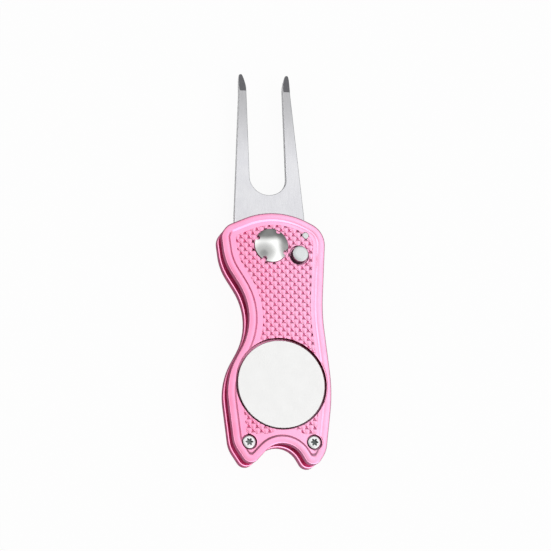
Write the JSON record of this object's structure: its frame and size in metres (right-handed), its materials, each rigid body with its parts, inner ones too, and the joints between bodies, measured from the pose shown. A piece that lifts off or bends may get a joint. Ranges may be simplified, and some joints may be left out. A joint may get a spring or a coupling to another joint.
{
  "type": "divot repair tool",
  "caption": "Folding golf divot repair tool: sprung two-prong steel fork, anodised handle scales, release button and magnetic ball marker.",
  "frame": {"origin": "on the fork's pivot axis, at the plane of the handle's flat back", "axes": "+Z out of the front face, +Y along the open fork towards its tips, +X towards the release button"},
  "size_m": [0.0299, 0.1149, 0.0105],
  "materials": {
    "anodised_pink": "satin pink anodising",
    "fork_steel": "finely brushed, ground at the tips",
    "polished_steel": "polished",
    "marker_steel": "fine satin, nearly white",
    "screw_steel": "machined",
    "pin_steel": "turned",
    "washer_bronze": "plain",
    "spring_steel": "drawn wire",
    "magnet": "nickel plated"
  },
  "bodies": {
    "handle": {"front_scale": "anodised_pink", "back_scale": "anodised_pink", "backspacer": "anodised_pink", "spine_dowel": "pin_steel", "left_spacer": "pin_steel", "left_screw": "screw_steel", "right_screw": "screw_steel", "stop_pin": "pin_steel", "pivot_post": "pin_steel", "pivot_cap": "polished_steel", "front_washer": "washer_bronze", "back_washer": "washer_bronze", "torsion_spring": "spring_steel", "button_spring": "spring_steel", "marker_magnet": "magnet"},
    "fork": {"fork": "fork_steel"},
    "button": {"release_button": "pin_steel"},
    "marker": {"ball_marker": "marker_steel"}
  },
  "joints": [
    {"name": "fork_hinge", "type": "hinge", "parent": "handle", "child": "fork", "pos_m": [0, 0, 0.00465], "axis": [0, 0, 1], "range_deg": [0, 184], "stiffness_Nm_per_rad": 0.012, "springref_deg": -34.38, "deforming": ["torsion_spring"]},
    {"name": "button_press", "type": "slide", "parent": "handle", "child": "button", "axis": [0, 0, -1], "range_m": [0, 0.0011], "stiffness_N_per_m": 600, "springref_m": -0.0008, "deforming": ["button_spring"]},
    {"name": "marker_lift", "type": "slide", "parent": "handle", "child": "marker", "axis": [0, 0, 1], "range_m": [0, 0.02]}
  ]
}
